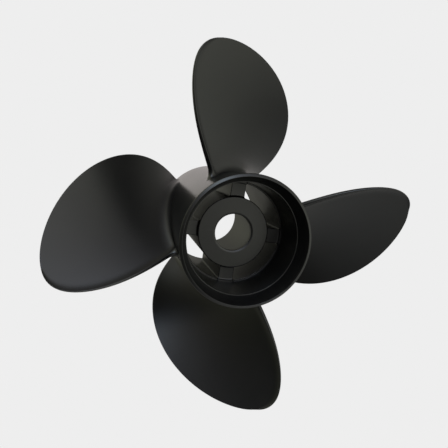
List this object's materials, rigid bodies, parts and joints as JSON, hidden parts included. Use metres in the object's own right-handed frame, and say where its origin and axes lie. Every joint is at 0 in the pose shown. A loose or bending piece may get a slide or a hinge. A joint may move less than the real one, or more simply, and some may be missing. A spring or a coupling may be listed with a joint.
{
  "type": "outboard boat propeller",
  "caption": "Right-handed boat propeller for an outboard motor: wide cupped blades on a tubular exhaust hub with a flared aft ring, and an inner hub held by ribs.",
  "frame": {"origin": "on the shaft axis, in the plane of the outer hub's front end, on which the propeller can stand", "axes": "+Z along the shaft towards the aft end; the four ribs stand at 45 degrees to X and Y"},
  "size_m": [0.3014, 0.3014, 0.1554],
  "materials": {
    "black_paint": "satin black paint on cast aluminium"
  },
  "bodies": {
    "root": {"barrel": "black_paint", "diffuser_ring": "black_paint", "inner_hub": "black_paint", "rib_1": "black_paint", "rib_2": "black_paint", "rib_3": "black_paint", "rib_4": "black_paint", "blade_1": "black_paint", "blade_2": "black_paint", "blade_3": "black_paint", "blade_4": "black_paint"}
  },
  "joints": []
}
